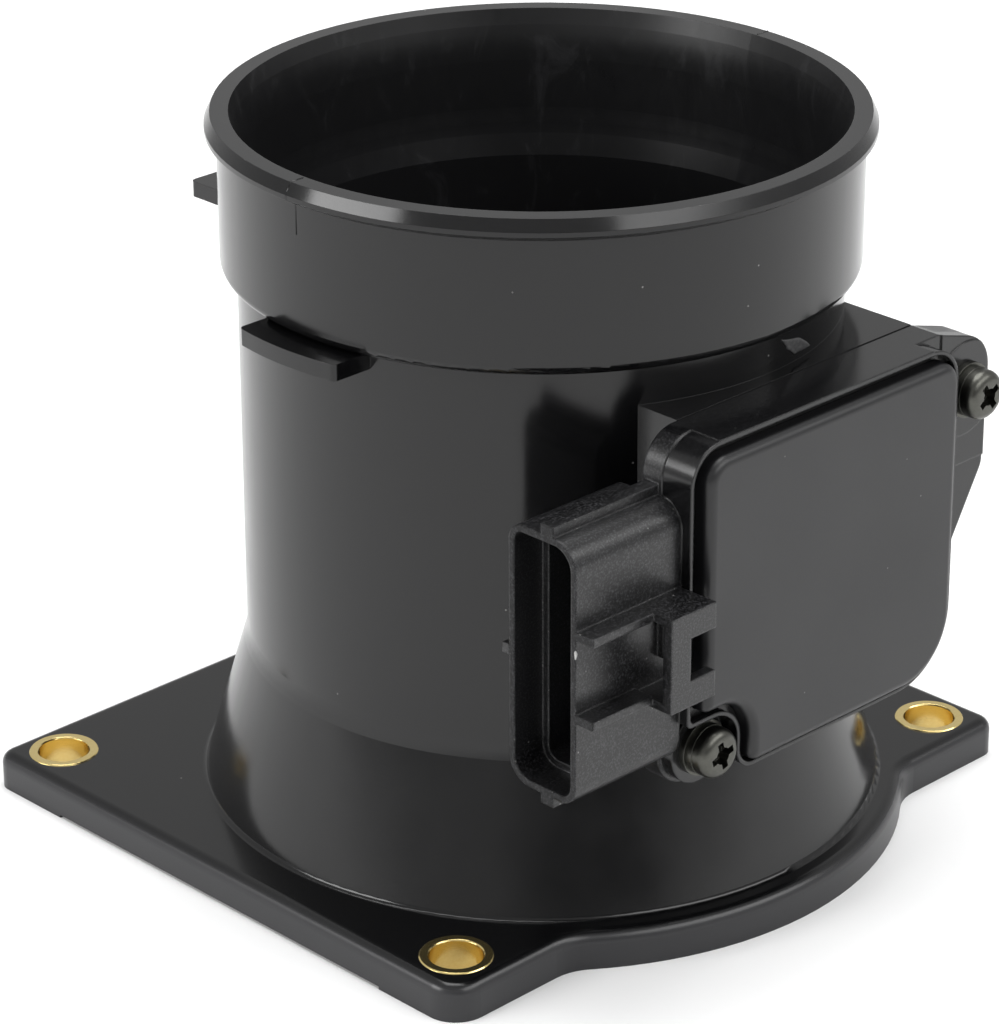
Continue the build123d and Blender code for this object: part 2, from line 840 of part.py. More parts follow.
with BuildPart() as spring_washer:
    with BuildSketch(facing(spring_plane)):
        Circle(spring_washer_outer / 2)
        Circle(screw_passage, mode=Mode.SUBTRACT)
        with Locations(((spring_washer_outer / 2 + screw_passage) / 2, 0)):
            Rectangle(spring_washer_outer, spring_washer_split, mode=Mode.SUBTRACT)
    extrude(amount=spring_washer_thickness)

with BuildPart() as plain_washer:
    with BuildSketch(facing(washer_plane)):
        Circle(plain_washer_outer / 2)
        Circle(screw_passage, mode=Mode.SUBTRACT)
    extrude(amount=plain_washer_thickness)

with BuildPart() as insert:
    with BuildSketch(facing(pad_face)):
        Circle(insert_outer / 2)
    extrude(amount=-insert_length)
    with BuildSketch(facing(pad_face)):
        Circle(insert_flange_outer / 2)
    extrude(amount=-insert_flange_thickness)
    with BuildSketch(facing(pad_face)):
        Circle(screw_thread / 2 + seat_clearance)
    extrude(amount=-insert_length, mode=Mode.SUBTRACT)

screws = {"lower": (lower_screw, lower_recess_turn), "upper": (upper_screw, upper_recess_turn)}
for where, ((x, z), turn) in screws.items():
    place = Pos(x, 0, z)
    finish(place * Rot(0, -turn, 0) * screw.part, f"{where}_screw")
    finish(place * spring_washer.part, f"{where}_spring_washer")
    finish(place * plain_washer.part, f"{where}_plain_washer")
    finish(place * insert.part, f"{where}_threaded_insert")
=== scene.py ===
import json
import math

import bmesh
import bpy
from mathutils import Matrix, Vector


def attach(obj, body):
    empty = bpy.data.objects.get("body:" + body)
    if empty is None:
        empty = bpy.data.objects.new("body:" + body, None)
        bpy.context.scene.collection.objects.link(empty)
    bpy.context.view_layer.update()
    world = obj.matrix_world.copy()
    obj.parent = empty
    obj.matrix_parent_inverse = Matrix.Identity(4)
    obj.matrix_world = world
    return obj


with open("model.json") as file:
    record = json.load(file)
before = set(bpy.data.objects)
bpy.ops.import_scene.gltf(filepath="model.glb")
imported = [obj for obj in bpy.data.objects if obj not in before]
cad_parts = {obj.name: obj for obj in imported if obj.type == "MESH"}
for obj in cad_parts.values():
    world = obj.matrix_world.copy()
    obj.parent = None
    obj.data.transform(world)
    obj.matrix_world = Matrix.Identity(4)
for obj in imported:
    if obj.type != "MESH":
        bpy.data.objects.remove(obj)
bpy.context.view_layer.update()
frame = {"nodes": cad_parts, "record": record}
nodes = frame["nodes"]

MM = 0.001

# Real sizes in millimetres, which the finishes and the added detail follow

# Duct: heights above the mounting face
duct_height = 95.6
step_top = 80.5
flange_top = 5.0

# Duct: radii from the bore's axis
mouth_radius = 38.6
lip_top_radius = 40.9
lip_radius = 41.65
collar_radius = 40.2
barrel_radius = 38.1
skirt_base_radius = 44.25

# Lip: depths of its bevel, its land and its foot below the mouth
bevel_depth = 1.5
land_depth = 2.1
lip_depth = 3.0

# Bushings: half the spacing of their pattern along X and Y, and the Y of its centre
bushing_offset = (44.25, 37.5)
bushing_pattern_y = 7.9

# Sensor module: Y of the base's front, X of the case's left, Z of its top, X of the socket's mouth and
# Y of its rear
base_front = -43.0
case_left = -23.4
case_top = 70.4
socket_mouth = -40.7
socket_rear = -35.2


# Camera, at the photograph's viewing angle

azimuth = math.radians(-44.442)
elevation = math.radians(24.524)
roll = math.radians(-0.277)
camera_place = (-342.204, -341.260, 260.587)
sensor_width = 36.0
focal_length = 144.81
back = Vector((math.sin(azimuth) * math.cos(elevation),
               -math.cos(azimuth) * math.cos(elevation),
               math.sin(elevation)))
level_right = (-back).cross(Vector((0, 0, 1))).normalized()
level_up = level_right.cross(-back)
right = level_right * math.cos(roll) + level_up * math.sin(roll)
up = level_up * math.cos(roll) - level_right * math.sin(roll)
lens = bpy.data.cameras.new("camera")
lens.sensor_width = sensor_width
lens.lens = focal_length
lens.clip_start = 0.01
lens.clip_end = 20.0
camera = bpy.data.objects.new("camera", lens)
turn = Matrix((right, up, back)).transposed().to_4x4()
camera.matrix_world = Matrix.Translation(Vector(camera_place) * MM) @ turn
bpy.context.scene.collection.objects.link(camera)
bpy.context.scene.camera = camera


# Material tools

scratch_colour = "#7c7c7a"
dust_colour = "#8a8a88"
# A new shader's own specular level
full_specular = 0.5

# Sockets of a Mix node by number, because its names repeat: inputs for each type, then outputs
mix_factor = 0
number_a = 2
number_b = 3
colour_a = 6
colour_b = 7
mixed_number = 0
mixed_colour = 2


def linear(hex_colour):
    """An sRGB hex colour as linear RGBA."""
    channels = [int(hex_colour[i:i + 2], 16) / 255 for i in (1, 3, 5)]
    curve = [c / 12.92 if c <= 0.04045 else ((c + 0.055) / 1.055) ** 2.4 for c in channels]
    return (*curve, 1.0)


def per_mm(size_mm):
    """Texture scale that gives a pattern of this real size, since the object is in metres."""
    return 1.0 / (size_mm * MM)


def add_node(tree, kind, options=None, values=None, links=None):
    """Add a shader node with its options, its socket values and the sockets that feed it."""
    node = tree.nodes.new(kind)
    for name, value in (options or {}).items():
        setattr(node, name, value)
    for socket, value in (values or {}).items():
        node.inputs[socket].default_value = value
    for socket, source in (links or {}).items():
        tree.links.new(source, node.inputs[socket])
    return node


def start_material(name, values):
    """A new material: its node tree, its shader, and the object's own coordinates."""
    material = bpy.data.materials.new(name)
    material.use_nodes = True
    tree = material.node_tree
    tree.nodes.clear()
    shader = add_node(tree, "ShaderNodeBsdfPrincipled", values=values)
    add_node(tree, "ShaderNodeOutputMaterial", links={"Surface": shader.outputs["BSDF"]})
    place = add_node(tree, "ShaderNodeTexCoord").outputs["Object"]
    return material, tree, shader, place


def find_node(tree, kind):
    """The one node of this kind that a finished material has."""
    return next(node for node in tree.nodes if node.type == kind)


def source_of(socket):
    """The output that feeds a socket."""
    return socket.links[0].from_socket


def moulded_plastic(name, ior, body, worn, roughness, grain_mm, grain_height_mm, edge_mm, speck_mm):
    """Moulded thermoplastic: grain and flow marks, rounded edges with patchy wear and nicks, and dust.

    body holds the tones between the grain's flecks and in them, worn is the tone of rubbed edges, and
    roughness is its lowest and highest. The rest are real sizes: the grain's spacing and height, the
    radius of the edges, and the distance between specks of dust.
    """
    flow_mm = 14.0
    rub_mm = 3.0
    nick_mm = 0.8
    speck_radius_mm = 0.10
    speck_blur_mm = 0.04
    material, tree, shader, place = start_material(name, {"IOR": ior, "Metallic": 0.0})

    # Melt flow leaves slow changes of gloss
    flow = add_node(tree, "ShaderNodeTexNoise",
                    values={"Scale": per_mm(flow_mm), "Detail": 4.0, "Roughness": 0.55},
                    links={"Vector": place})
    gloss = add_node(tree, "ShaderNodeMapRange",
                     values={"From Min": 0.35, "From Max": 0.65,
                             "To Min": roughness[0], "To Max": roughness[1]},
                     links={"Value": flow.outputs["Fac"]})

    # Grain of the tool's surface, in tone and in relief
    grain = add_node(tree, "ShaderNodeTexNoise",
                     values={"Scale": per_mm(grain_mm), "Detail": 3.0, "Roughness": 0.6},
                     links={"Vector": place})
    fleck = add_node(tree, "ShaderNodeMapRange", values={"From Min": 0.48, "From Max": 0.72},
                     links={"Value": grain.outputs["Fac"]})
    tone = add_node(tree, "ShaderNodeMix", {"data_type": "RGBA"},
                    {colour_a: linear(body[0]), colour_b: linear(body[1])},
                    {mix_factor: fleck.outputs["Result"]})

    # The tool's rounded edges, found where the rounded normal leaves the face's own by 8 to 32 degrees
    rounded = add_node(tree, "ShaderNodeBevel", {"samples": 5}, {"Radius": edge_mm * MM})
    face = add_node(tree, "ShaderNodeNewGeometry")
    agree = add_node(tree, "ShaderNodeVectorMath", {"operation": "DOT_PRODUCT"},
                     links={0: rounded.outputs["Normal"], 1: face.outputs["Normal"]})
    edge = add_node(tree, "ShaderNodeMapRange", values={"From Min": 0.99, "From Max": 0.85},
                    links={"Value": agree.outputs["Value"]})
    # Handling rubs them in patches
    rub = add_node(tree, "ShaderNodeTexNoise", values={"Scale": per_mm(rub_mm), "Detail": 3.0},
                   links={"Vector": place})
    patch = add_node(tree, "ShaderNodeMapRange", values={"From Min": 0.48, "From Max": 0.62, "To Max": 0.8},
                     links={"Value": rub.outputs["Fac"]})
    wear = add_node(tree, "ShaderNodeMath", {"operation": "MULTIPLY"},
                    links={0: edge.outputs["Result"], 1: patch.outputs["Result"]})
    rubbed = add_node(tree, "ShaderNodeMix", {"data_type": "RGBA"},
                      {colour_b: linear(worn)},
                      {mix_factor: wear.outputs["Value"], colour_a: tone.outputs[mixed_colour]})

    # Knocks leave small pale nicks in them
    chip = add_node(tree, "ShaderNodeTexNoise", values={"Scale": per_mm(nick_mm), "Detail": 2.0},
                    links={"Vector": place})
    dent = add_node(tree, "ShaderNodeMapRange", values={"From Min": 0.66, "From Max": 0.72, "To Max": 0.9},
                    links={"Value": chip.outputs["Fac"]})
    nick = add_node(tree, "ShaderNodeMath", {"operation": "MULTIPLY"},
                    links={0: edge.outputs["Result"], 1: dent.outputs["Result"]})
    nicked = add_node(tree, "ShaderNodeMix", {"data_type": "RGBA"},
                      {colour_b: linear(scratch_colour)},
                      {mix_factor: nick.outputs["Value"], colour_a: rubbed.outputs[mixed_colour]})

    # Dust specks, drawn about 0.25 mm across so that they show, with a blurred edge
    speck_full = speck_radius_mm / speck_mm
    speck_gone = (speck_radius_mm + speck_blur_mm) / speck_mm
    speck = add_node(tree, "ShaderNodeTexVoronoi", values={"Scale": per_mm(speck_mm)},
                     links={"Vector": place})
    dusty = add_node(tree, "ShaderNodeMapRange",
                     values={"From Min": speck_full, "From Max": speck_gone, "To Min": 0.6, "To Max": 0.0},
                     links={"Value": speck.outputs["Distance"]})
    coated = add_node(tree, "ShaderNodeMix", {"data_type": "RGBA"},
                      {colour_b: linear(dust_colour)},
                      {mix_factor: dusty.outputs["Result"], colour_a: nicked.outputs[mixed_colour]})

    relief = add_node(tree, "ShaderNodeBump", values={"Strength": 1.0, "Distance": grain_height_mm * MM},
                      links={"Height": grain.outputs["Fac"], "Normal": rounded.outputs["Normal"]})
    tree.links.new(coated.outputs[mixed_colour], shader.inputs["Base Color"])
    tree.links.new(gloss.outputs["Result"], shader.inputs["Roughness"])
    tree.links.new(relief.outputs["Normal"], shader.inputs["Normal"])
    return material


def cut_metal(name, colours, roughness, mark_mm, mark_height_mm, edge_mm):
    """Machined or pressed metal: tool marks in its tone, its gloss and its relief, and rounded edges.

    mark_mm is the spacing of the marks, mark_height_mm their height and edge_mm the edges' radius.
    """
    material, tree, shader, place = start_material(name, {"Metallic": 1.0})
    marks = add_node(tree, "ShaderNodeTexNoise",
                     values={"Scale": per_mm(mark_mm), "Detail": 5.0, "Roughness": 0.65},
                     links={"Vector": place})
    tone = add_node(tree, "ShaderNodeMix", {"data_type": "RGBA"},
                    {colour_a: linear(colours[0]), colour_b: linear(colours[1])},
                    {mix_factor: marks.outputs["Fac"]})
    gloss = add_node(tree, "ShaderNodeMapRange",
                     values={"From Min": 0.3, "From Max": 0.7,
                             "To Min": roughness[0], "To Max": roughness[1]},
                     links={"Value": marks.outputs["Fac"]})
    rounded = add_node(tree, "ShaderNodeBevel", {"samples": 6}, {"Radius": edge_mm * MM})
    relief = add_node(tree, "ShaderNodeBump", values={"Strength": 1.0, "Distance": mark_height_mm * MM},
                      links={"Height": marks.outputs["Fac"], "Normal": rounded.outputs["Normal"]})
    tree.links.new(tone.outputs[mixed_colour], shader.inputs["Base Color"])
    tree.links.new(gloss.outputs["Result"], shader.inputs["Roughness"])
    tree.links.new(relief.outputs["Normal"], shader.inputs["Normal"])
    return material


def finish_duct(material):
    """Scuff the bore and dull its lower part; make the flange's sides satin, and paler as a painted sheen.
    """
    bore_tones = ("#161617", "#38383a")
    bore_roughness = (0.27, 0.38)
    bore_specular = 0.16
    scuff_mm = 6.0
    scuff_stretch = (1.0, 1.0, 0.45)
    # Paler colour of the flange's sides: a painted sheen
    flange_painted_sheen_tone = "#2a2a2c"
    flange_roughness = 0.33
    tree = material.node_tree
    shader = find_node(tree, "BSDF_PRINCIPLED")
    place = find_node(tree, "TEX_COORD").outputs["Object"]
    outer_tone = source_of(shader.inputs["Base Color"])
    outer_gloss = source_of(shader.inputs["Roughness"])

    # The bore's faces look towards the axis
    flat = add_node(tree, "ShaderNodeVectorMath", {"operation": "MULTIPLY"},
                    {1: (1.0, 1.0, 0.0)}, {0: place})
    radial = add_node(tree, "ShaderNodeVectorMath", {"operation": "NORMALIZE"},
                      links={0: flat.outputs["Vector"]})
    face = add_node(tree, "ShaderNodeNewGeometry")
    outward = add_node(tree, "ShaderNodeVectorMath", {"operation": "DOT_PRODUCT"},
                       links={0: radial.outputs["Vector"], 1: face.outputs["Normal"]})
    inside = add_node(tree, "ShaderNodeMapRange",
                      values={"From Min": -0.15, "From Max": -0.5, "To Min": 0.0, "To Max": 1.0},
                      links={"Value": outward.outputs["Value"]})

    # Pale scuffs, drawn out up the bore
    pull = add_node(tree, "ShaderNodeMapping", values={"Scale": scuff_stretch}, links={"Vector": place})
    scuff = add_node(tree, "ShaderNodeTexNoise",
                     values={"Scale": per_mm(scuff_mm), "Detail": 6.0, "Roughness": 0.7, "Distortion": 1.5},
                     links={"Vector": pull.outputs["Vector"]})
    pale = add_node(tree, "ShaderNodeMapRange",
                    values={"From Min": 0.58, "From Max": 0.82, "To Min": 0.0, "To Max": 0.5},
                    links={"Value": scuff.outputs["Fac"]})
    bore_tone = add_node(tree, "ShaderNodeMix", {"data_type": "RGBA"},
                         {colour_a: linear(bore_tones[0]), colour_b: linear(bore_tones[1])},
                         {mix_factor: pale.outputs["Result"]})
    bore_gloss = add_node(tree, "ShaderNodeMapRange",
                          values={"From Min": 0.3, "From Max": 0.7,
                                  "To Min": bore_roughness[0], "To Max": bore_roughness[1]},
                          links={"Value": scuff.outputs["Fac"]})
    tone = add_node(tree, "ShaderNodeMix", {"data_type": "RGBA"},
                    links={mix_factor: inside.outputs["Result"], colour_a: outer_tone,
                           colour_b: bore_tone.outputs[mixed_colour]})
    gloss = add_node(tree, "ShaderNodeMix", {"data_type": "FLOAT"},
                     links={mix_factor: inside.outputs["Result"], number_a: outer_gloss,
                            number_b: bore_gloss.outputs["Result"]})

    # The core left the step and the bore below it matte, with 1 mm of change at the step's top
    height = add_node(tree, "ShaderNodeSeparateXYZ", links={0: place}).outputs["Z"]
    glossy_from = (step_top + 0.6) * MM
    matte_from = (step_top - 0.4) * MM
    deep = add_node(tree, "ShaderNodeMapRange", values={"From Min": glossy_from, "From Max": matte_from},
                    links={"Value": height})
    matte = add_node(tree, "ShaderNodeMath", {"operation": "MULTIPLY"},
                     links={0: inside.outputs["Result"], 1: deep.outputs["Result"]})
    sheen = add_node(tree, "ShaderNodeMapRange", values={"To Min": full_specular, "To Max": bore_specular},
                     links={"Value": matte.outputs["Value"]})
    tree.links.new(sheen.outputs["Result"], shader.inputs["Specular IOR Level"])

    # The flange's sides lie outside the skirt's foot and below the flange's top edge
    skirt_foot = (skirt_base_radius + 0.4) * MM
    edge_top = (flange_top - 0.1) * MM
    edge_foot = (flange_top - 0.9) * MM
    radius = add_node(tree, "ShaderNodeVectorMath", {"operation": "LENGTH"},
                      links={0: flat.outputs["Vector"]})
    outside = add_node(tree, "ShaderNodeMath", {"operation": "GREATER_THAN"},
                       {1: skirt_foot}, {0: radius.outputs["Value"]})
    below = add_node(tree, "ShaderNodeMapRange", values={"From Min": edge_top, "From Max": edge_foot},
                     links={"Value": height})
    flange = add_node(tree, "ShaderNodeMath", {"operation": "MULTIPLY"},
                      links={0: outside.outputs["Value"], 1: below.outputs["Result"]})
    satin = add_node(tree, "ShaderNodeMix", {"data_type": "FLOAT"}, {number_b: flange_roughness},
                     {mix_factor: flange.outputs["Value"], number_a: gloss.outputs[mixed_number]})
    # The flange's sides get a paler colour: a painted sheen for the bright band they catch
    grey = add_node(tree, "ShaderNodeMix", {"data_type": "RGBA"},
                    {colour_b: linear(flange_painted_sheen_tone)},
                    {mix_factor: flange.outputs["Value"], colour_a: tone.outputs[mixed_colour]})
    tree.links.new(grey.outputs[mixed_colour], shader.inputs["Base Color"])
    tree.links.new(satin.outputs[mixed_number], shader.inputs["Roughness"])


def polish_case(material):
    """Polish the case in front of its base and its top face, and take the gloss off the socket's rim."""
    polished_tone = "#0c0c0d"
    polished_roughness = 0.19
    polished_grain = 0.08
    polished_evenness = 0.8
    rim_specular = 0.2
    tree = material.node_tree
    shader = find_node(tree, "BSDF_PRINCIPLED")
    place = find_node(tree, "TEX_COORD").outputs["Object"]
    relief = find_node(tree, "BUMP")
    grained_tone = source_of(shader.inputs["Base Color"])
    grained_gloss = source_of(shader.inputs["Roughness"])

    # Polished are the case in front of its base but not the socket, and whatever is at the case's top
    body_from = (base_front - 0.05) * MM
    top_from = (case_top - 0.3) * MM
    where = add_node(tree, "ShaderNodeSeparateXYZ", links={0: place})
    front = add_node(tree, "ShaderNodeMath", {"operation": "LESS_THAN"},
                     {1: body_from}, {0: where.outputs["Y"]})
    beside_socket = add_node(tree, "ShaderNodeMath", {"operation": "GREATER_THAN"},
                             {1: case_left * MM}, {0: where.outputs["X"]})
    body = add_node(tree, "ShaderNodeMath", {"operation": "MULTIPLY"},
                    links={0: front.outputs["Value"], 1: beside_socket.outputs["Value"]})
    top = add_node(tree, "ShaderNodeMath", {"operation": "GREATER_THAN"},
                   {1: top_from}, {0: where.outputs["Z"]})
    polished = add_node(tree, "ShaderNodeMath", {"operation": "MAXIMUM"},
                        links={0: body.outputs["Value"], 1: top.outputs["Value"]})

    # Polished faces are smoother, hardly grained, and more even in tone
    gloss = add_node(tree, "ShaderNodeMix", {"data_type": "FLOAT"}, {number_b: polished_roughness},
                     {mix_factor: polished.outputs["Value"], number_a: grained_gloss})
    strength = add_node(tree, "ShaderNodeMapRange", values={"To Min": 1.0, "To Max": polished_grain},
                        links={"Value": polished.outputs["Value"]})
    even = add_node(tree, "ShaderNodeMath", {"operation": "MULTIPLY"},
                    {1: polished_evenness}, {0: polished.outputs["Value"]})
    tone = add_node(tree, "ShaderNodeMix", {"data_type": "RGBA"},
                    {colour_b: linear(polished_tone)},
                    {mix_factor: even.outputs["Value"], colour_a: grained_tone})

    # The socket's rim is dull, but not the lug behind the socket, which ends in the same plane
    rim_until = (socket_mouth + 0.06) * MM
    front_end = add_node(tree, "ShaderNodeMath", {"operation": "LESS_THAN"},
                         {1: rim_until}, {0: where.outputs["X"]})
    not_lug = add_node(tree, "ShaderNodeMath", {"operation": "LESS_THAN"},
                       {1: socket_rear * MM}, {0: where.outputs["Y"]})
    rim = add_node(tree, "ShaderNodeMath", {"operation": "MULTIPLY"},
                   links={0: front_end.outputs["Value"], 1: not_lug.outputs["Value"]})
    sheen = add_node(tree, "ShaderNodeMapRange", values={"To Min": full_specular, "To Max": rim_specular},
                     links={"Value": rim.outputs["Value"]})
    tree.links.new(sheen.outputs["Result"], shader.inputs["Specular IOR Level"])
    tree.links.new(gloss.outputs[mixed_number], shader.inputs["Roughness"])
    tree.links.new(strength.outputs["Result"], relief.inputs["Strength"])
    tree.links.new(tone.outputs[mixed_colour], shader.inputs["Base Color"])


def turn_marks(material):
    """Add the lathe's rings round each bushing."""
    ring_mm = 0.25
    tree = material.node_tree
    place = find_node(tree, "TEX_COORD").outputs["Object"]
    relief = find_node(tree, "BUMP")

    # The four bushings mirror each other, so one quarter of the pattern gives the radius for all
    pattern_centre = (0.0, bushing_pattern_y * MM, 0.0)
    bushing_centre = (bushing_offset[0] * MM, bushing_offset[1] * MM, 0.0)
    pattern = add_node(tree, "ShaderNodeVectorMath", {"operation": "SUBTRACT"},
                       {1: pattern_centre}, {0: place})
    quarter = add_node(tree, "ShaderNodeVectorMath", {"operation": "ABSOLUTE"},
                       links={0: pattern.outputs["Vector"]})
    centred = add_node(tree, "ShaderNodeVectorMath", {"operation": "SUBTRACT"},
                       {1: bushing_centre}, {0: quarter.outputs["Vector"]})
    flat = add_node(tree, "ShaderNodeVectorMath", {"operation": "MULTIPLY"},
                    {1: (1.0, 1.0, 0.0)}, {0: centred.outputs["Vector"]})
    radius = add_node(tree, "ShaderNodeVectorMath", {"operation": "LENGTH"},
                      links={0: flat.outputs["Vector"]})
    rings = add_node(tree, "ShaderNodeTexNoise", {"noise_dimensions": "1D"},
                     {"Scale": per_mm(ring_mm), "Detail": 2.0}, {"W": radius.outputs["Value"]})
    tree.links.new(rings.outputs["Fac"], relief.inputs["Height"])


# Materials

# Glass-filled PBT from a polished tool: near-black, glossy outside, and duller and scuffed in the bore
duct_plastic = moulded_plastic(
    "moulded_pbt_duct", ior=1.46, body=("#0a0a0b", "#0e0e0f"), worn="#1d1d1f", roughness=(0.13, 0.20),
    grain_mm=0.5, grain_height_mm=0.002, edge_mm=0.08, speck_mm=5.5)
finish_duct(duct_plastic)
# PBT from a spark-eroded tool with polished faces: speckled satin black, its sharp edges catch the light
module_plastic = moulded_plastic(
    "moulded_pbt_module", ior=1.5, body=("#0a0a0b", "#3c3c3e"), worn="#464648", roughness=(0.28, 0.36),
    grain_mm=0.26, grain_height_mm=0.014, edge_mm=0.36, speck_mm=3.2)
polish_case(module_plastic)
# Lid of the same plastic from a fine matte tool: even dark grey
lid_plastic = moulded_plastic(
    "grained_pbt_lid", ior=1.5, body=("#111113", "#151517"), worn="#2c2c2e", roughness=(0.35, 0.41),
    grain_mm=0.4, grain_height_mm=0.004, edge_mm=0.20, speck_mm=5.0)
# Probe of plain moulded PBT: satin black
probe_plastic = moulded_plastic(
    "moulded_pbt_probe", ior=1.5, body=("#0e0e0f", "#141415"), worn="#2c2c2e", roughness=(0.32, 0.42),
    grain_mm=0.5, grain_height_mm=0.004, edge_mm=0.20, speck_mm=6.0)
# Silicone bead: wet-looking black
sealant = moulded_plastic(
    "silicone_bead", ior=1.42, body=("#060606", "#0a0a0a"), worn="#101010", roughness=(0.18, 0.30),
    grain_mm=1.4, grain_height_mm=0.05, edge_mm=0.10, speck_mm=6.0)
# Moulded silicone rubber: dull black
rubber = moulded_plastic(
    "moulded_seal_rubber", ior=1.45, body=("#0c0c0c", "#131313"), worn="#1e1e1e", roughness=(0.55, 0.70),
    grain_mm=0.5, grain_height_mm=0.006, edge_mm=0.15, speck_mm=6.0)
# Chip packages of moulded epoxy: matte black
epoxy = moulded_plastic(
    "moulded_epoxy_package", ior=1.55, body=("#111112", "#18181a"), worn="#2c2c2e", roughness=(0.45, 0.60),
    grain_mm=0.3, grain_height_mm=0.004, edge_mm=0.10, speck_mm=6.0)
# Glass laminate under a solder mask: glossy green, a little mottled by the cloth below
laminate = moulded_plastic(
    "glass_laminate_board", ior=1.5, body=("#0e3a1f", "#145029"), worn="#6f7a4c", roughness=(0.22, 0.34),
    grain_mm=0.8, grain_height_mm=0.01, edge_mm=0.08, speck_mm=6.0)
# Glazed alumina bobbin: bright off-white
ceramic = moulded_plastic(
    "glazed_alumina", ior=1.6, body=("#d9d6ca", "#c9c5b6"), worn="#e8e5da", roughness=(0.12, 0.22),
    grain_mm=0.6, grain_height_mm=0.003, edge_mm=0.10, speck_mm=6.0)
# Turned brass: pale yellow, bright
brass = cut_metal(
    "turned_brass", colours=("#f1dfa2", "#e5c981"), roughness=(0.13, 0.22),
    mark_mm=0.35, mark_height_mm=0.002, edge_mm=0.12)
turn_marks(brass)
# Zinc-plated steel under a dark passivate: dull olive grey
screw_steel = cut_metal(
    "zinc_plated_steel", colours=("#5e5e59", "#4c4c48"), roughness=(0.28, 0.40),
    mark_mm=0.6, mark_height_mm=0.0015, edge_mm=0.10)
# Tinned copper alloy of terminals and posts: soft silver
tinned_copper = cut_metal(
    "tinned_copper", colours=("#cfcfca", "#b9b9b3"), roughness=(0.24, 0.36),
    mark_mm=0.5, mark_height_mm=0.003, edge_mm=0.10)
# Rolled aluminium plate: pale grey, softly marked
aluminium = cut_metal(
    "rolled_aluminium", colours=("#cdd0d2", "#b9bcbf"), roughness=(0.30, 0.42),
    mark_mm=0.5, mark_height_mm=0.004, edge_mm=0.10)

finishes = {
    "housing_plastic": duct_plastic,
    "module_plastic": module_plastic,
    "lid_plastic": lid_plastic,
    "probe_plastic": probe_plastic,
    "bushing_brass": brass,
    "insert_brass": brass,
    "screw_steel": screw_steel,
    "terminal_metal": tinned_copper,
    "post_metal": tinned_copper,
    "plate_aluminium": aluminium,
    "sealant": sealant,
    "seal_rubber": rubber,
    "board": laminate,
    "chip_plastic": epoxy,
    "element_ceramic": ceramic,
}
for part in frame["record"]["subparts"]:
    mesh = nodes[part["node"]].data
    mesh.materials.clear()
    mesh.materials.append(finishes[part["material_slot"]])


# Added detail

def new_piece(name, shape, material):
    """A mesh piece that rides on the object, in the finish of one of its slots."""
    mesh = bpy.data.meshes.new(name)
    bmesh.ops.recalc_face_normals(shape, faces=shape.faces)
    shape.to_mesh(mesh)
    shape.free()
    for face in mesh.polygons:
        face.use_smooth = True
    mesh.materials.append(material)
    piece = bpy.data.objects.new(name, mesh)
    bpy.context.scene.collection.objects.link(piece)
    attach(piece, "root")
    return piece


def seam_line(name, bearing, profile, width, height):
    """A parting line: a thin raised seam on the duct's outer profile, at one bearing about the axis.

    It is half sunk in the wall, with its crest at height above it, so no gap shows under its feet.
    """
    shape = bmesh.new()
    angle = math.radians(bearing)
    outward = Vector((math.cos(angle), math.sin(angle), 0))
    across = Vector((-math.sin(angle), math.cos(angle), 0)) * width / 2 * MM
    rows = []
    for i, (radius, z) in enumerate(profile):
        before = profile[max(i - 1, 0)]
        after = profile[min(i + 1, len(profile) - 1)]
        along = Vector((after[0] - before[0], after[1] - before[1])).normalized()
        normal = outward * along.y - Vector((0, 0, 1)) * along.x
        base = (outward * radius + Vector((0, 0, z))) * MM
        crest = base + normal * height * MM
        foot = base - normal * height * MM
        rows.append([shape.verts.new(p) for p in (foot - across, crest, foot + across)])
    for low, high in zip(rows, rows[1:]):
        for i in range(3):
            j = (i + 1) % 3
            shape.faces.new((low[i], low[j], high[j], high[i]))
    shape.faces.new(rows[0])
    shape.faces.new(rows[-1][::-1])
    return new_piece(name, shape, duct_plastic)


# The parting line runs up the collar and over the lip, and stops short of the mouth's inner edge
seam_reach = 6.8
seam_gap = 0.3
seam_width = 0.40
seam_height = 0.10
lip_profile = [
    (collar_radius, duct_height - seam_reach),
    (collar_radius, duct_height - lip_depth),
    (lip_radius, duct_height - land_depth),
    (lip_radius, duct_height - bevel_depth),
    (lip_top_radius, duct_height),
    (mouth_radius + seam_gap, duct_height),
]
seam_line("parting_line_left", 179.0, lip_profile, seam_width, seam_height)
seam_line("parting_line_right", -1.0, lip_profile, seam_width, seam_height)


def moulding_scar(name, outline, height, material):
    """A low ragged scar on the barrel's wall, its corners given as bearings (degrees) and heights (mm)."""
    points_a_side = 6
    raggedness = 0.05
    shape = bmesh.new()
    middle = (sum(c[0] for c in outline) / len(outline), sum(c[1] for c in outline) / len(outline))
    # Rings of the dome: how much of the outline each keeps, and how far it stands off the wall
    rings = [(1.0, -0.02), (0.94, 0.7 * height), (0.80, height), (0.45, 0.8 * height)]
    loops = []
    for reach, rise in rings:
        loop = []
        for start, end in zip(outline, outline[1:] + outline[:1]):
            for i in range(points_a_side):
                part = i / points_a_side
                ragged = reach * (1 + raggedness * math.sin(5 * len(loop) + 2 * part))
                bearing = middle[0] + (start[0] + (end[0] - start[0]) * part - middle[0]) * ragged
                z = middle[1] + (start[1] + (end[1] - start[1]) * part - middle[1]) * ragged
                angle = math.radians(bearing)
                radius = barrel_radius + rise
                x = radius * math.cos(angle)
                y = radius * math.sin(angle)
                loop.append(shape.verts.new((x * MM, y * MM, z * MM)))
        loops.append(loop)
    count = len(loops[0])
    for low, high in zip(loops, loops[1:]):
        for i in range(count):
            j = (i + 1) % count
            shape.faces.new((low[i], low[j], high[j], high[i]))
    shape.faces.new(loops[0][::-1])
    shape.faces.new(loops[-1])
    return new_piece(name, shape, material)


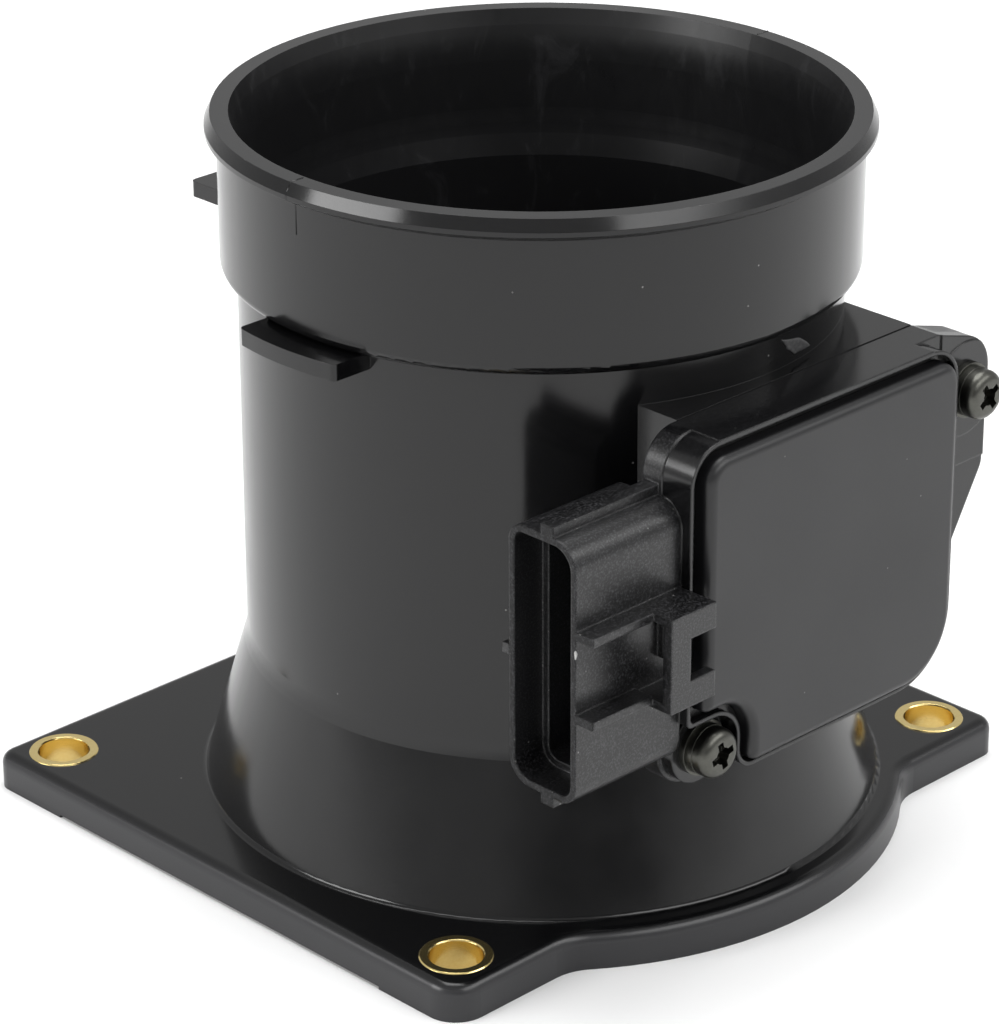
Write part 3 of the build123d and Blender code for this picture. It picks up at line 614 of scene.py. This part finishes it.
def flash_curl(name, centre, size, material):
    """A curl of moulding flash left on an edge: a small uneven pip."""
    shape = bmesh.new()
    bmesh.ops.create_icosphere(shape, subdivisions=3, radius=0.5)
    for vert in shape.verts:
        x, y, z = vert.co
        # Two waves make it lumpy, and its ends curl over
        swell = 1 + 0.22 * math.sin(7 * z + 2 * x) + 0.12 * math.sin(11 * y - 5 * z)
        vert.co = Vector(((centre[0] + size[0] * x * swell) * MM,
                          (centre[1] + size[1] * (y * swell + 0.25 * z * z)) * MM,
                          (centre[2] + size[2] * z) * MM))
    return new_piece(name, shape, material)


# PBT cut where the gate was trimmed: matte grey
cut_plastic = moulded_plastic(
    "trimmed_gate_pbt", ior=1.5, body=("#3c3c3d", "#545454"), worn="#5c5c5c", roughness=(0.45, 0.60),
    grain_mm=0.5, grain_height_mm=0.03, edge_mm=0.05, speck_mm=6.0)
scar_corners = [(-86.0, 74.2), (-79.9, 73.2), (-76.0, 71.3), (-81.8, 71.4), (-84.4, 72.6)]
scar_height = 0.14
moulding_scar("gate_scar", scar_corners, scar_height, cut_plastic)

# Moulding flash on the socket's edge, coloured nearly white as a painted highlight
flash_painted_highlight = moulded_plastic(
    "flash_painted_highlight_pbt", ior=1.5, body=("#a8a8a6", "#c9c9c6"), worn="#d8d8d6", roughness=(0.40, 0.55),
    grain_mm=0.4, grain_height_mm=0.01, edge_mm=0.03, speck_mm=6.0)
flash_centre = (-40.75, -46.2, 50.1)
flash_size = (0.30, 0.34, 1.15)
flash_curl("socket_flash", flash_centre, flash_size, flash_painted_highlight)


# Floor

# Metres from its middle to its edges
floor_reach = 4.0
shape = bmesh.new()
bmesh.ops.create_grid(shape, x_segments=1, y_segments=1, size=floor_reach)
floor_mesh = bpy.data.meshes.new("floor")
shape.to_mesh(floor_mesh)
shape.free()
floor = bpy.data.objects.new("floor", floor_mesh)
bpy.context.scene.collection.objects.link(floor)
# White seamless paper: matte, with a faint broad mottle
paper_tones = ("#f4f4f4", "#f7f7f7")
mottle_mm = 60.0
paper, tree, shader, place = start_material(
    "white_seamless_paper", {"Roughness": 0.8, "Specular IOR Level": 0.2})
mottle = add_node(tree, "ShaderNodeTexNoise", values={"Scale": per_mm(mottle_mm), "Detail": 3.0},
                  links={"Vector": place})
tone = add_node(tree, "ShaderNodeMix", {"data_type": "RGBA"},
                {colour_a: linear(paper_tones[0]), colour_b: linear(paper_tones[1])},
                {mix_factor: mottle.outputs["Fac"]})
tree.links.new(tone.outputs[mixed_colour], shader.inputs["Base Color"])
floor_mesh.materials.append(paper)


# Light

# A plain photographic tone, with the paper burnt out to white
bpy.context.scene.view_settings.view_transform = "Standard"

# A pale room, with a darker patch on the photographer's side
dark_side = (-0.469, -0.883, 0.0)
room_strength = 0.58
dark_strength = 0.12
world = bpy.data.worlds.new("studio")
bpy.context.scene.world = world
world.use_nodes = True
room = world.node_tree
toward = add_node(room, "ShaderNodeTexCoord").outputs["Generated"]
facing = add_node(room, "ShaderNodeVectorMath", {"operation": "DOT_PRODUCT"},
                  {1: dark_side}, {0: toward})
dimmed = add_node(room, "ShaderNodeMapRange",
                  values={"From Min": 0.84, "From Max": 0.98,
                          "To Min": room_strength, "To Max": dark_strength},
                  links={"Value": facing.outputs["Value"]})
room.links.new(dimmed.outputs["Result"], room.nodes["Background"].inputs["Strength"])
room.nodes["Background"].inputs["Color"].default_value = (1.0, 1.0, 1.0, 1.0)


def softbox(name, place, aim, width, height, power):
    """A rectangular area light that faces a point, in metres and watts."""
    lamp = bpy.data.lights.new(name, "AREA")
    lamp.shape = "RECTANGLE"
    lamp.size = width
    lamp.size_y = height
    lamp.energy = power
    light = bpy.data.objects.new(name, lamp)
    light.location = place
    light.rotation_mode = "QUATERNION"
    light.rotation_quaternion = (Vector(aim) - Vector(place)).to_track_quat("-Z", "Y")
    bpy.context.scene.collection.objects.link(light)


softbox("overhead_softbox", place=(0.10, 0.10, 0.80), aim=(0, 0, 0), width=0.6, height=0.6, power=5.0)
softbox("front_softbox", place=(0.22, -0.74, 0.66), aim=(0, 0, 0.03), width=1.1, height=0.40, power=5.0)
softbox("left_softbox", place=(-0.79, 0.31, 0.41), aim=(0, 0, 0.09), width=0.5, height=0.30, power=3.8)
